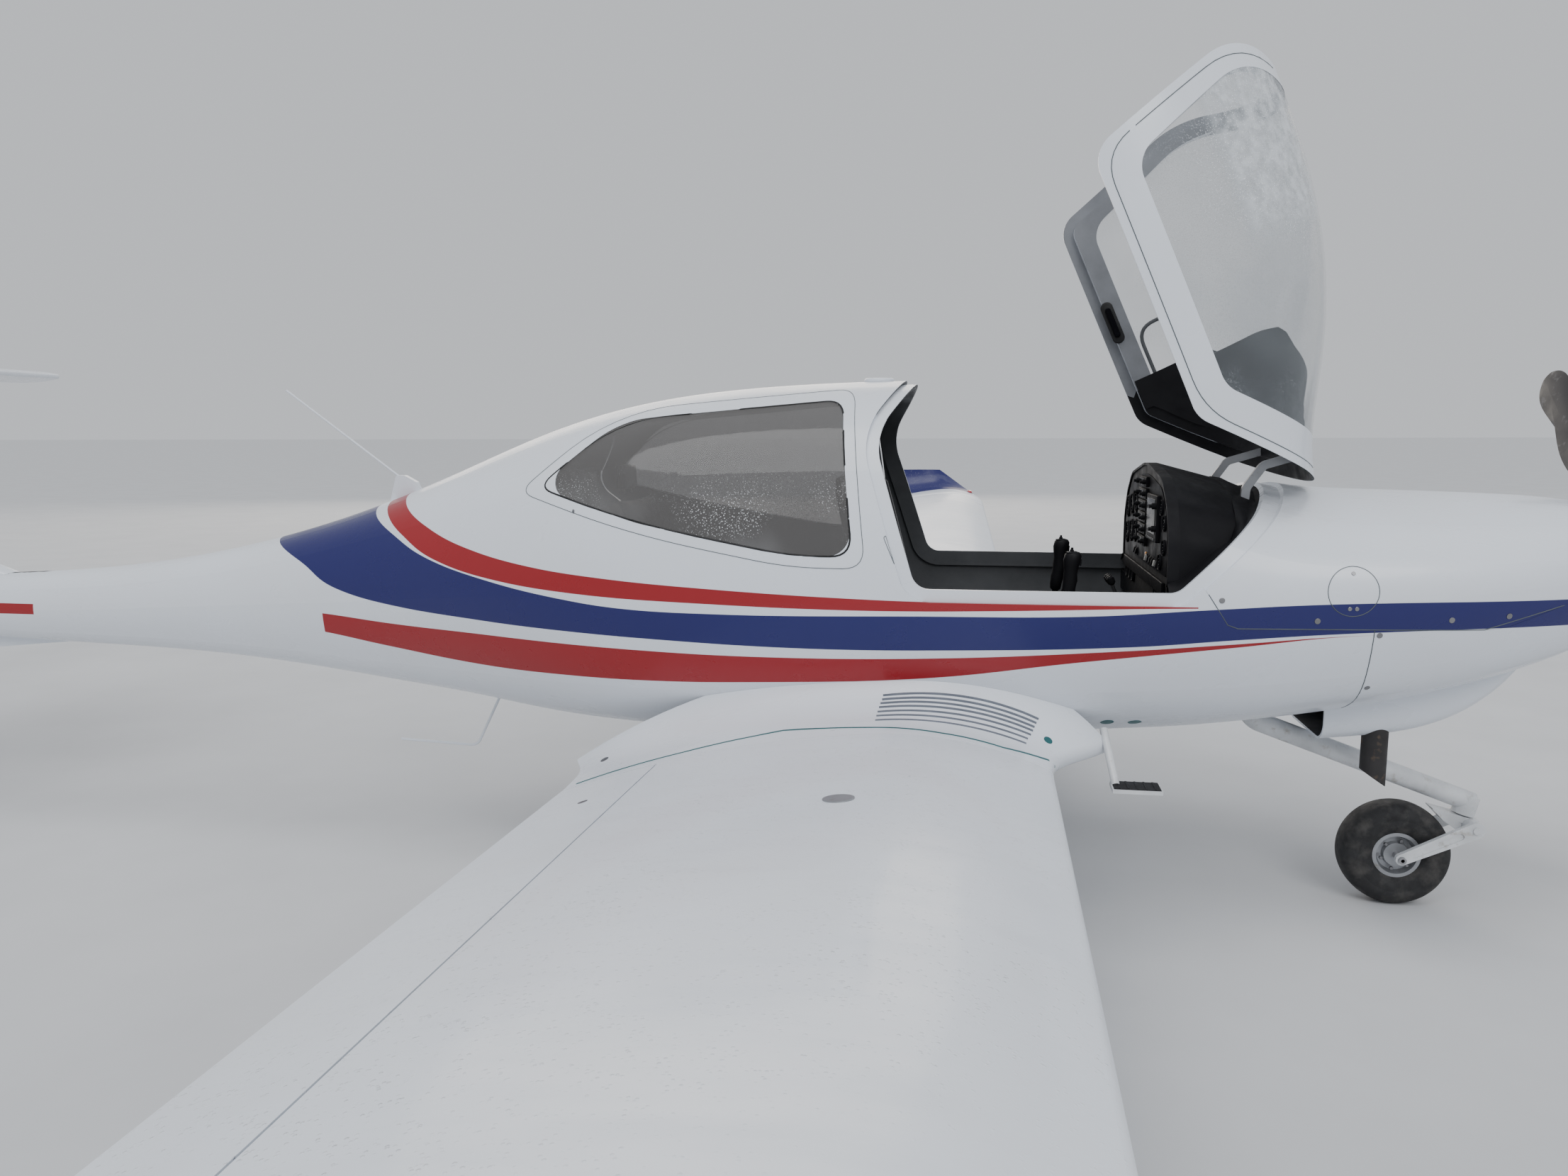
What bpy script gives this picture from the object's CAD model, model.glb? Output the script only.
import math

import bmesh
import bpy
from mathutils import Matrix, Vector
from mathutils.bvhtree import BVHTree


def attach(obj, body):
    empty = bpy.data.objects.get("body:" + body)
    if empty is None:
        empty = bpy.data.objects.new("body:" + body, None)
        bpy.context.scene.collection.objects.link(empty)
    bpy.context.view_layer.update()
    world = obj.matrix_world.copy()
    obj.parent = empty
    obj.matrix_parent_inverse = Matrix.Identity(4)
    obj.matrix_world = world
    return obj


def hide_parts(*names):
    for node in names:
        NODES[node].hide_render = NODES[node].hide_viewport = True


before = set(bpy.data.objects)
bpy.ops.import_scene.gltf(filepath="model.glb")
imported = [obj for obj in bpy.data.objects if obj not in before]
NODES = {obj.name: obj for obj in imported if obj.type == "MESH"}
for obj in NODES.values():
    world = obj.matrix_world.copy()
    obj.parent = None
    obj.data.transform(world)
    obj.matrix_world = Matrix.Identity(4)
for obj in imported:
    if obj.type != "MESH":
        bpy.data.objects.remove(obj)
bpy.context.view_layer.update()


# Same places as in the part's source, in metres
PIVOT = Vector((2.742, 0, 1.36))
OPEN = math.radians(66.5)
AXLE_NOSE = Vector((3.15, 0, 0.178))
AXLE_MAIN = Vector((1.47, 1.485, 0.222))
SIDES = ((-1, "right"), (1, "left"))
FORWARD, UP = Vector((1, 0, 0)), Vector((0, 0, 1))


# Shader helpers
class Shader:
    """A material and short ways to add nodes to it."""

    def __init__(self, name, rough=0.5, metal=0.0, coat=0.0, coat_rough=0.08, sheen=0.0, ior=1.5):
        self.mat = bpy.data.materials.new(name)
        self.mat.use_nodes = True
        self.tree = self.mat.node_tree
        self.bsdf = self.tree.nodes["Principled BSDF"]
        self.feed(self.bsdf, {"Roughness": rough, "Metallic": metal, "Coat Weight": coat,
                              "Coat Roughness": coat_rough, "Sheen Weight": sheen, "IOR": ior})
        self.coord = self.add("ShaderNodeTexCoord").outputs["Object"]

    def feed(self, node, sockets):
        """Sets inputs to values, or links them to other nodes' outputs."""
        for socket, value in sockets.items():
            if isinstance(value, bpy.types.NodeSocket):
                self.tree.links.new(value, node.inputs[socket])
            elif value is not None:
                node.inputs[socket].default_value = value

    def add(self, kind, sockets=None, **settings):
        node = self.tree.nodes.new(kind)
        for key, value in settings.items():
            setattr(node, key, value)
        self.feed(node, sockets or {})
        return node

    def noise(self, scale, detail, stretch=None):
        place = self.coord
        if stretch:
            place = self.add("ShaderNodeMapping", {"Scale": stretch, "Vector": self.coord}).outputs["Vector"]
        sockets = {"Scale": scale, "Detail": detail, "Roughness": 0.55, "Vector": place}
        return self.add("ShaderNodeTexNoise", sockets).outputs["Fac"]

    def cells(self, scale):
        return self.add("ShaderNodeTexVoronoi", {"Scale": scale, "Vector": self.coord}).outputs["Distance"]

    def wave(self, scale, axis):
        sockets = {"Scale": scale, "Vector": self.coord}
        return self.add("ShaderNodeTexWave", sockets, bands_direction=axis).outputs["Fac"]

    def axis(self, index):
        return self.add("ShaderNodeSeparateXYZ", {0: self.coord}).outputs[index]

    def math(self, kind, a, b=0.0, clamp=False):
        return self.add("ShaderNodeMath", {0: a, 1: b}, operation=kind, use_clamp=clamp).outputs[0]

    def times(self, product, *others):
        for other in others:
            product = self.math("MULTIPLY", product, other)
        return product

    def ramp(self, value, low, high, to_low=0.0, to_high=1.0, smooth=False):
        sockets = {"Value": value, "From Min": low, "From Max": high, "To Min": to_low, "To Max": to_high}
        kind = "SMOOTHSTEP" if smooth else "LINEAR"
        return self.add("ShaderNodeMapRange", sockets, interpolation_type=kind).outputs["Result"]

    def mix(self, fac, a, b):
        """A mix of two colours, each an output or three numbers."""
        a, b = ((*value, 1.0) if isinstance(value, tuple) else value for value in (a, b))
        return self.add("ShaderNodeMix", {0: fac, 6: a, 7: b}, data_type="RGBA").outputs[2]

    def colour(self, value):
        self.feed(self.bsdf, {"Base Color": value})

    def rough(self, value):
        self.feed(self.bsdf, {"Roughness": value})

    def bump(self, *layers):
        """Layers of height, strength and distance, each on the one before."""
        normal = None
        for height, strength, distance in layers:
            sockets = {"Strength": strength, "Distance": distance, "Height": height, "Normal": normal}
            normal = self.add("ShaderNodeBump", sockets).outputs["Normal"]
        self.feed(self.bsdf, {"Normal": normal})

    def line(self, points):
        """Height of a stripe's edge over x, from a few hand-set points (x, z)."""
        (x0, x1), (z0, z1) = STRIPE_X, STRIPE_Z
        node = self.add("ShaderNodeFloatCurve", {"Value": self.ramp(self.axis(0), x0, x1)})
        curve = node.mapping.curves[0]
        rows = [((x - x0) / (x1 - x0), (z - z0) / (z1 - z0)) for x, z in points]
        curve.points[0].location = rows[0]
        curve.points[1].location = rows[-1]
        for row in rows[1:-1]:
            curve.points.new(*row)
        node.mapping.update()
        return self.ramp(node.outputs["Value"], 0.0, 1.0, z0, z1)

    def between(self, top, bottom, start=None, end=None):
        """1 inside a stripe, 0 outside, with a crisp edge."""
        z = self.axis(2)
        mask = self.times(self.ramp(self.math("SUBTRACT", top, z), -EDGE, EDGE),
                          self.ramp(self.math("SUBTRACT", z, bottom), -EDGE, EDGE))
        if start is not None:
            mask = self.times(mask, self.ramp(self.axis(0), start - EDGE, start + EDGE))
        if end is not None:
            mask = self.times(mask, self.ramp(self.axis(0), end + EDGE, end - EDGE))
        return mask


WHITE = (0.74, 0.78, 0.84)
BLUE = (0.002, 0.004, 0.105)
RED = (0.30, 0.003, 0.008)

# Room that the stripes' curves are drawn in, half the blur of their edges, and where each starts or ends
STRIPE_X = (-1.1, 3.8)
STRIPE_Z = (0.7, 1.6)
EDGE = 0.0007
RED_UP_END, RED_LOW_START, RED_LOW_END, BLUE_START = 2.362, -0.65, 2.866, -1.05
TAIL_TOP, TAIL_LOW, TAIL_END = 0.940, 0.898, -1.962
TIP_Y, TIP_SLANT = (5.560, 5.562), -0.10

# Stripe edges on the body's side: x and z
RED_UP_TOP = [(-0.50, 1.56), (-0.358, 1.373), (-0.204, 1.282), (-0.008, 1.214), (0.252, 1.165),
              (0.507, 1.140), (0.894, 1.118), (1.324, 1.101), (1.555, 1.096), (2.034, 1.096),
              (2.362, 1.094), (3.8, 1.094)]
RED_UP_LOW = [(-0.50, 1.42), (-0.430, 1.340), (-0.304, 1.246), (-0.125, 1.161), (0.109, 1.113),
              (0.424, 1.084), (0.894, 1.070), (1.325, 1.064), (1.556, 1.066), (1.742, 1.071),
              (2.362, 1.090), (3.8, 1.090)]
BLUE_TOP = [(-0.62, 1.54), (-0.488, 1.330), (-0.347, 1.247), (-0.167, 1.167), (0.071, 1.111),
            (0.357, 1.066), (0.585, 1.044), (0.893, 1.039), (1.556, 1.051), (2.035, 1.061),
            (2.393, 1.086), (2.745, 1.106), (3.414, 1.120), (3.8, 1.13)]
BLUE_LOW = [(-1.1, 1.33), (-0.928, 1.215), (-0.747, 1.132), (-0.572, 1.042), (-0.332, 0.997),
            (0.062, 0.969), (0.415, 0.955), (0.736, 0.946), (1.035, 0.939), (1.323, 0.938),
            (1.557, 0.943), (2.185, 0.970), (2.470, 0.995), (2.865, 1.022), (3.436, 1.041), (3.8, 1.05)]
RED_LOW_TOP = [(-1.1, 0.975), (-0.647, 0.951), (-0.340, 0.930), (0.054, 0.920), (0.574, 0.908),
               (1.033, 0.904), (1.557, 0.917), (2.186, 0.959), (2.472, 0.983), (2.866, 1.014),
               (3.8, 1.014)]
RED_LOW_LOW = [(-1.1, 0.93), (-0.654, 0.880), (-0.361, 0.841), (0.027, 0.805), (0.386, 0.797),
               (0.716, 0.801), (1.024, 0.815), (1.557, 0.850), (2.042, 0.919), (2.473, 0.972),
               (2.866, 1.014), (3.8, 1.014)]


def gelcoat(name, stripes=False, tips=False, dew=False):
    """White gelcoat with the paint scheme, fine orange peel, grime and, on wings, dried dew."""
    s = Shader(name, rough=0.28, coat=0.22, coat_rough=0.12)
    grime = s.ramp(s.noise(2.2, 5), 0.42, 0.75)
    colour = s.mix(s.times(grime, 0.16), WHITE, (0.62, 0.62, 0.60))
    if stripes:
        upper = s.between(s.line(RED_UP_TOP), s.line(RED_UP_LOW), end=RED_UP_END)
        lower = s.between(s.line(RED_LOW_TOP), s.line(RED_LOW_LOW), start=RED_LOW_START, end=RED_LOW_END)
        blue = s.between(s.line(BLUE_TOP), s.line(BLUE_LOW), start=BLUE_START)
        tail = s.between(TAIL_TOP, TAIL_LOW, end=TAIL_END)
        red = s.math("MAXIMUM", s.math("MAXIMUM", upper, lower), tail)
        colour = s.mix(blue, s.mix(red, colour, RED), BLUE)
    if tips:
        slant = s.math("ADD", s.math("ABSOLUTE", s.axis(1)), s.times(s.axis(0), TIP_SLANT))
        colour = s.mix(s.ramp(slant, *TIP_Y), colour, BLUE)
    smear = s.noise(5.0, 6, stretch=(0.7, 3.0, 1.0))
    if dew:
        colour = s.mix(s.ramp(smear, 0.52, 0.74, 0.0, 0.14), colour, (0.58, 0.61, 0.66))
        patch = s.ramp(s.noise(0.9, 2), 0.40, 0.62)
        s.rough(s.math("ADD", s.ramp(smear, 0.35, 0.7, 0.26, 0.46), s.times(patch, 0.16)))
        drops = s.ramp(s.cells(110), 0.0, 0.36, 1.0, 0.0, smooth=True)
        wet = s.times(drops, s.ramp(s.noise(34, 3), 0.44, 0.60), patch)
        s.colour(s.mix(s.times(wet, 0.55), colour, (0.93, 0.96, 1.0)))
        s.bump((s.noise(60, 2), 0.05, 0.001), (wet, 0.9, 0.0030))
    else:
        s.colour(colour)
        s.rough(s.ramp(smear, 0.3, 0.75, 0.22, 0.40))
        s.bump((s.noise(90, 2), 0.04, 0.0008), (s.noise(4, 2), 0.05, 0.004))
    return s.mat


def painted(name, colour, rough, metal=0.0, grain=300, depth=0.0004, wear=None, coat=0.0, ior=1.5):
    """A plain finish with colour variation, fine grain and optional worn tone."""
    s = Shader(name, rough=rough, metal=metal, coat=coat, ior=ior)
    dark = tuple(c * 0.72 for c in colour)
    base = s.mix(s.ramp(s.noise(9, 4), 0.3, 0.75), dark, colour)
    if wear:
        base = s.mix(s.ramp(s.noise(26, 6), 0.60, 0.72), base, wear)
    s.colour(base)
    s.rough(s.ramp(s.noise(14, 4), 0.3, 0.7, rough * 0.75, min(1.0, rough * 1.25)))
    s.bump((s.noise(grain, 3), 0.35, depth))
    return s.mat


def acrylic(name, body, swung=False, tint=(0.42, 0.46, 0.49)):
    """Clear acrylic, denser edge on, with beads of dew in patches and misting where it is cold."""
    s = Shader(name, rough=0.05, ior=1.49)
    if swung:
        sockets = {"Center": PIVOT, "Angle": -OPEN, "Vector": s.coord}
        s.coord = s.add("ShaderNodeVectorRotate", sockets, rotation_type="Y_AXIS").outputs[0]
    patch = s.ramp(s.noise(2.1, 4), 0.40, 0.58, smooth=True)
    beads = s.times(s.ramp(s.cells(135), 0.12, 0.34, 1.0, 0.0, smooth=True), patch)
    mist = s.ramp(s.noise(1.7, 3), 0.46, 0.72, 0.0, 0.16, smooth=True)
    if swung:
        shore = s.times(s.ramp(s.axis(0), 1.98, 1.86, smooth=True), s.ramp(s.axis(1), -0.20, -0.32),
                        s.ramp(s.axis(2), 1.40, 1.47, smooth=True))
        fog = s.times(shore, s.ramp(s.noise(26, 5), 0.30, 0.62, 0.12, 0.60))
        mist = s.math("MAXIMUM", mist, fog)
    else:
        low = s.ramp(s.axis(2), 1.50, 1.34, 0.08, 1.0, smooth=True)
        beads, mist = s.times(beads, low), s.times(mist, low)
    facing = s.add("ShaderNodeLayerWeight", {"Blend": 0.25}).outputs["Facing"]
    clear = s.math("ADD", s.times(facing, 0.30), body)
    alpha = s.math("ADD", clear, s.math("ADD", s.times(beads, 0.34), mist), clamp=True)
    s.feed(s.bsdf, {"Alpha": alpha})
    s.colour(s.mix(s.math("MAXIMUM", beads, mist), tint, (0.86, 0.89, 0.92)))
    s.rough(s.math("ADD", s.times(mist, 0.6), 0.05))
    s.bump((beads, 0.5, 0.0014), (s.noise(30, 3), 0.04, 0.001))
    return s.mat


def leather(name, colour):
    """Soft leather with grain cells, creases and worn highlights."""
    s = Shader(name, rough=0.5, sheen=0.15)
    s.colour(s.mix(s.ramp(s.noise(7, 4), 0.3, 0.75), tuple(c * 0.7 for c in colour), colour))
    s.rough(s.ramp(s.noise(18, 4), 0.3, 0.7, 0.38, 0.62))
    s.bump((s.cells(420), 0.25, 0.0006), (s.noise(22, 5), 0.3, 0.002))
    return s.mat


def woven(name, colour, scale=900):
    """Short-pile or woven cloth."""
    s = Shader(name, rough=0.9, sheen=0.3)
    s.colour(s.mix(s.ramp(s.noise(40, 4), 0.3, 0.7), tuple(c * 0.6 for c in colour), colour))
    weave = s.times(s.wave(scale / 6, "X"), s.wave(scale / 6, "Y"))
    s.bump((weave, 0.4, 0.0006), (s.noise(scale / 2, 2), 0.5, 0.0008))
    return s.mat


def rubber(name):
    """Tyre rubber with dust."""
    s = Shader(name, rough=0.8)
    s.colour(s.mix(s.ramp(s.noise(20, 5), 0.45, 0.8), (0.018, 0.018, 0.019), (0.075, 0.07, 0.065)))
    s.rough(s.ramp(s.noise(30, 4), 0.3, 0.7, 0.66, 0.92))
    s.bump((s.noise(380, 3), 0.35, 0.0005))
    return s.mat


M = {
    "body": gelcoat("gelcoat_striped", stripes=True),
    "white": gelcoat("gelcoat_plain"),
    "wing": gelcoat("gelcoat_wing", tips=True, dew=True),
    "trim": painted("cabin_trim", (0.045, 0.047, 0.052), 0.62, grain=500),
    "lining": painted("canopy_lining", (0.23, 0.24, 0.26), 0.55, grain=420),
    "black": painted("moulded_black", (0.010, 0.010, 0.012), 0.55, grain=450, ior=1.25),
    "gloss_black": painted("gloss_black", (0.007, 0.007, 0.009), 0.40, grain=60, depth=0.0001, ior=1.08),
    "glass": acrylic("canopy_acrylic", 0.07, swung=True),
    "window": acrylic("window_acrylic", 0.46, tint=(0.150, 0.145, 0.142)),
    "wall": painted("cabin_wall", (0.085, 0.090, 0.097), 0.6, grain=520),
    "screw": painted("screw_steel", (0.30, 0.30, 0.31), 0.38, metal=1.0, grain=120),
    "bezel": painted("bezel_black", (0.012, 0.012, 0.014), 0.50, grain=300, depth=0.0002, ior=1.12),
    "knob": painted("knob_black", (0.016, 0.016, 0.018), 0.55, grain=600, ior=1.15),
    "lamp": painted("orange_lamp", (0.85, 0.33, 0.03), 0.3),
    "hose": painted("brake_hose", (0.022, 0.022, 0.024), 0.55, grain=400),
    "cushion": leather("cushion_leather", (0.055, 0.057, 0.064)),
    "gear": painted("gear_paint", (0.76, 0.78, 0.80), 0.32, grain=160, wear=(0.42, 0.40, 0.37), coat=0.3),
    "cast": painted("cast_grey", (0.42, 0.43, 0.45), 0.45, metal=0.75, grain=260, wear=(0.25, 0.24, 0.22)),
    "steel": painted("bare_steel", (0.45, 0.45, 0.46), 0.34, metal=1.0, grain=240),
    "exhaust": painted("heat_tinted_steel", (0.045, 0.042, 0.042), 0.65, metal=0.4, grain=200,
                       wear=(0.12, 0.085, 0.06)),
    "iron": painted("engine_iron", (0.16, 0.165, 0.17), 0.62, metal=0.5, grain=180),
    "blade": painted("blade_paint", (0.022, 0.022, 0.026), 0.42, grain=120, wear=(0.09, 0.09, 0.095)),
    "rubber": rubber("tyre_rubber"),
    "seal": painted("seal_rubber", (0.012, 0.012, 0.013), 0.75, grain=350),
    "seat": leather("seat_leather", (0.060, 0.062, 0.070)),
    "piping": leather("seat_piping", (0.16, 0.165, 0.18)),
    "carpet": woven("carpet", (0.06, 0.062, 0.068)),
    "strap": woven("harness_web", (0.03, 0.03, 0.034), 1800),
    "line": painted("joint_line", (0.10, 0.12, 0.13), 0.6),
    "teal": painted("teal_paint", (0.012, 0.12, 0.13), 0.4),
    "walk": painted("walkway_strip", (0.16, 0.18, 0.22), 0.92, grain=700, depth=0.0012),
    "walk_black": painted("tread_black", (0.012, 0.012, 0.014), 0.9, grain=900, depth=0.001),
    "screen": painted("dark_screen", (0.005, 0.007, 0.010), 0.25, grain=20, depth=0.00005, ior=1.15),
    "dial": painted("dial_white", (0.40, 0.40, 0.38), 0.5),
    "red_lens": painted("red_lens", (0.5, 0.012, 0.012), 0.15, coat=0.8),
    "green_lens": painted("green_lens", (0.01, 0.30, 0.09), 0.15, coat=0.8),
}

# Outer finish of each CAD node, and the inner finish of the hollow ones
OUTER = {
    "body": ("fuselage_shell", "tail_cone", "rear_door", "cowl_upper", "cowl_lower"),
    "white": ("scoop", "canopy_frame", "canopy_coaming", "wing_root_fairing_right", "wing_root_fairing_left",
              "fin", "rudder", "tailplane", "elevator", "ventral_fin", "spinner", "gps_antenna",
              "belly_antenna", "whip_antenna"),
    "glass": ("canopy_glass",),
    "window": ("rear_window_right", "rear_door_window"),
    "steel": ("firewall", "nose_axle", "canopy_brackets", "belly_drain"),
    "iron": ("engine_block",),
    "exhaust": ("exhaust_pipe",),
    "wing": ("wing_right", "wing_left", "flap_right", "flap_left", "aileron_right", "aileron_left"),
    "gear": ("nose_leg", "castor_yoke", "fork_arms", "main_leg_right", "main_leg_left", "boarding_steps"),
    "cast": ("brake_caliper_right", "brake_caliper_left", "nose_rim", "main_rim_right", "main_rim_left",
             "canopy_arms", "pitot_mast"),
    "rubber": ("nose_tyre", "main_tyre_right", "main_tyre_left"),
    "blade": ("propeller_blades",),
    "carpet": ("cabin_floor",),
    "trim": ("seat_pedestals", "centre_console"),
    "black": ("control_sticks", "instrument_panel", "glareshield"),
    "seat": ("front_seats", "rear_seats"),
}
INNER = {
    "fuselage_shell": "wall", "rear_door": "wall", "canopy_coaming": "wall", "tail_cone": "trim",
    "cowl_upper": "trim", "cowl_lower": "trim", "scoop": "trim", "canopy_frame": "lining",
}

# Aft edge of the canopy's black lining over the distance from the middle, and its front edge over the
# degrees up from either side
LINING_AFT = [(0.0, 2.43), (0.15, 2.41), (0.255, 2.366), (0.36, 2.31), (0.421, 2.253), (0.457, 2.175),
              (0.514, 2.160), (0.60, 2.170)]
LINING_FRONT = [(2, 2.279), (6, 2.318), (9, 2.350), (14, 2.396), (19, 2.438), (25, 2.478), (30, 2.507),
                (36, 2.525), (48, 2.550), (63, 2.570), (90, 2.585)]
LINING_OVERLAP = 0.05
CABIN_MIDDLE_Z = 1.06


def read_off(table, at):
    """A value from a table of rising places, straight between its rows."""
    for (a0, x0), (a1, x1) in zip(table, table[1:]):
        if at <= a1:
            return x0 + (x1 - x0) * (at - a0) / (a1 - a0)
    return table[-1][1]


def smooth_over(mesh, sharp=None):
    """Smooth shading, with edges past an angle in degrees left sharp."""
    mesh.polygons.foreach_set("use_smooth", [True] * len(mesh.polygons))
    if sharp:
        mesh.set_sharp_from_angle(angle=math.radians(sharp))


def paint_inside(name):
    """Inner finish on a hollow node's inner faces, and black on the hood's beyond its lining."""
    mesh = NODES[name].data
    mesh.materials.append(M[INNER[name]])
    mesh.materials.append(M["black"])
    hood = name == "canopy_frame"
    back = Matrix.Rotation(-OPEN, 3, "Y")
    for face in mesh.polygons:
        place, normal = Vector(face.center), Vector(face.normal)
        if hood:
            place, normal = back @ (place - PIVOT) + PIVOT, back @ normal
        outward = Vector((0, place.y, place.z - CABIN_MIDDLE_Z)).normalized()
        inner = normal.dot(outward) < -0.35
        forward = hood and place.x > read_off(LINING_AFT, abs(place.y)) + LINING_OVERLAP
        face.material_index = (2 if forward else 1) if inner else 0


for finish, names in OUTER.items():
    for name in names:
        mesh = NODES[name].data
        mesh.materials.clear()
        mesh.materials.append(M[finish])
        if name in INNER:
            paint_inside(name)
        smooth_over(mesh, 30)


# Piece helpers
def new_object(name, mesh, finish, body, smooth=True):
    """A mesh piece in the scene, riding on a body."""
    obj = bpy.data.objects.new(name, mesh)
    bpy.context.scene.collection.objects.link(obj)
    mesh.materials.append(M[finish])
    if smooth:
        smooth_over(mesh)
    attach(obj, body)
    return obj


def built(name, bm, finish, body, smooth=True, sharp=None):
    """A piece from a finished bmesh, with edges past an angle in degrees sharp."""
    mesh = bpy.data.meshes.new(name)
    bm.to_mesh(mesh)
    bm.free()
    obj = new_object(name, mesh, finish, body, smooth)
    if sharp:
        mesh.set_sharp_from_angle(angle=math.radians(sharp))
    return obj


def bridge(bm, rows, ring=True):
    """Quads between rows of vertices that follow each other, each row a ring or open."""
    for a, b in zip(rows, rows[1:]):
        for i in range(len(a) if ring else len(a) - 1):
            j = (i + 1) % len(a)
            bm.faces.new((a[i], a[j], b[j], b[i]))


def solid(bm, rows):
    """A closed body through rings of vertices."""
    bridge(bm, rows)
    bm.faces.new(rows[-1])
    bm.faces.new(rows[0][::-1])
    bmesh.ops.recalc_face_normals(bm, faces=bm.faces[:])


def tree_of(meshes, turn=Matrix.Identity(4)):
    """One search tree over several meshes."""
    verts, faces = [], []
    for mesh in meshes:
        start = len(verts)
        verts.extend(turn @ v.co for v in mesh.vertices)
        faces.extend([start + i for i in p.vertices] for p in mesh.polygons)
    return BVHTree.FromPolygons(verts, faces)


def nodes(*names):
    """Meshes of CAD nodes."""
    return [NODES[name].data for name in names]


HULL = tree_of(nodes("fuselage_shell", "tail_cone", "cowl_upper", "cowl_lower", "rear_door",
                     "rear_window_right", "rear_door_window"))
WINGS = tree_of(nodes("wing_root_fairing_right", "wing_root_fairing_left", "wing_right", "wing_left",
                      "flap_right", "flap_left", "aileron_right", "aileron_left"))


def on_side(x, z, side):
    """Point and normal on the hull's side (side -1 starboard, 1 port)."""
    place, normal = HULL.ray_cast(Vector((x, side * 1.5, z)), Vector((0, -side, 0)))[:2]
    if place is not None and place.y * side < 0.05:
        return None, None
    return place, normal


def on_top(x, y):
    """Point and normal on the wings' upper skin."""
    return WINGS.ray_cast(Vector((x, y, 2.6)), -UP)[:2]


def ribbon(name, hits, width, lift, finish, body="airframe", closed=False, thick=0.0008):
    """A thin raised strip along points on a surface."""
    hits = [h for h in hits if h[0] is not None]
    count = len(hits)
    bm = bmesh.new()
    rows = []
    for i, (place, normal) in enumerate(hits):
        ahead = hits[(i + 1) % count][0] if closed or i + 1 < count else place
        behind = hits[i - 1][0] if closed or i > 0 else place
        across = (ahead - behind).normalized().cross(normal).normalized() * (width / 2)
        up = normal * lift
        top = up + normal * thick
        shape = (-across + up * 0.2, -across * 0.8 + top, across * 0.8 + top, across + up * 0.2)
        rows.append([bm.verts.new(place + v) for v in shape])
    bridge(bm, rows + rows[:1] if closed else rows, ring=False)
    bm.normal_update()
    built(name, bm, finish, body)


def spread(points, step, closed=False):
    """Points along a polyline at even steps."""
    pts = [Vector(p) for p in points]
    if closed:
        pts.append(pts[0])
    out = []
    for a, b in zip(pts, pts[1:]):
        n = max(1, int((b - a).length / step))
        out.extend(a.lerp(b, i / n) for i in range(n))
    if not closed:
        out.append(pts[-1])
    return out


def rounded(points, radii, steps=7):
    """Corners of a closed 2-D outline turned into arcs, close enough for a joint line."""
    out = []
    for i, radius in enumerate(radii):
        p = Vector(points[i])
        a, b = Vector(points[i - 1]) - p, Vector(points[(i + 1) % len(points)]) - p
        cut = min(radius, a.length * 0.48, b.length * 0.48)
        start, end = p + a.normalized() * cut, p + b.normalized() * cut
        for k in range(steps + 1):
            t = k / steps
            out.append(start * (1 - t) ** 2 + p * 2 * t * (1 - t) + end * t * t)
    return out


def grown(points, amount):
    """An outline moved outwards by an amount."""
    area = sum(a[0] * b[1] - b[0] * a[1] for a, b in zip(points, points[1:] + points[:1]))
    sign = 1 if area > 0 else -1
    out = []
    for i in range(len(points)):
        a, p, b = Vector(points[i - 1]), Vector(points[i]), Vector(points[(i + 1) % len(points)])
        n1 = Vector(((p - a).y, -(p - a).x)).normalized() * sign
        n2 = Vector(((b - p).y, -(b - p).x)).normalized() * sign
        way = (n1 + n2).normalized()
        out.append(p + way * amount / max(0.4, way.dot(n1)))
    return out


def side_line(name, points, side, width, finish, body="airframe", closed=True, lift=0.0003):
    """A thin line on the hull's side through points (x, z)."""
    ribbon(name, [on_side(p.x, p.y, side) for p in points], width, lift, finish, body, closed)


def turned(profile, segments):
    """A turned skin closed on top: profile rows are radius and height."""
    bm = bmesh.new()
    turns = [math.tau * i / segments for i in range(segments)]
    rows = [[bm.verts.new((r * math.cos(a), r * math.sin(a), h)) for a in turns] for r, h in profile]
    bridge(bm, rows)
    bm.faces.new(rows[-1])
    return bm, rows


def stand(bm, place, normal):
    """Moves a turned form to a place, with its axis along a normal."""
    turn = Vector(normal).to_track_quat("Z", "Y").to_matrix().to_4x4()
    bm.transform(Matrix.Translation(place) @ turn)


def disc(name, hit, radius, height, finish, segments=24, bevel=0.25):
    """A low round button on a surface, at a point and normal."""
    place, normal = hit
    if place is not None:
        shoulder = (radius, height * (1 - bevel))
        bm = turned([(radius, -height * 0.5), shoulder, (radius * (1 - bevel * 0.5), height)], segments)[0]
        stand(bm, place, normal)
        built(name, bm, finish, "airframe", smooth=False)


def lathe(name, profile, place, normal, finish, segments=32, body="airframe"):
    """A turned piece: profile rows are radius and height along the normal."""
    bm, rows = turned(profile, segments)
    bm.faces.new(rows[0][::-1])
    stand(bm, place, normal)
    built(name, bm, finish, body, sharp=35)


def tube(name, points, radius, finish, closed=False):
    """A round bar along points, as a curve turned to mesh."""
    data = bpy.data.curves.new(name, "CURVE")
    data.dimensions = "3D"
    data.bevel_depth = radius
    data.bevel_resolution = 3
    data.use_fill_caps = True
    spline = data.splines.new("POLY")
    spline.points.add(len(points) - 1)
    for point, co in zip(spline.points, points):
        point.co = (*co, 1.0)
    spline.use_cyclic_u = closed
    curve = bpy.data.objects.new(name + "_c", data)
    bpy.context.scene.collection.objects.link(curve)
    mesh = bpy.data.meshes.new_from_object(curve.evaluated_get(bpy.context.evaluated_depsgraph_get()))
    bpy.data.objects.remove(curve)
    mesh.name = name
    mesh.materials.clear()
    new_object(name, mesh, finish, "airframe")


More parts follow.
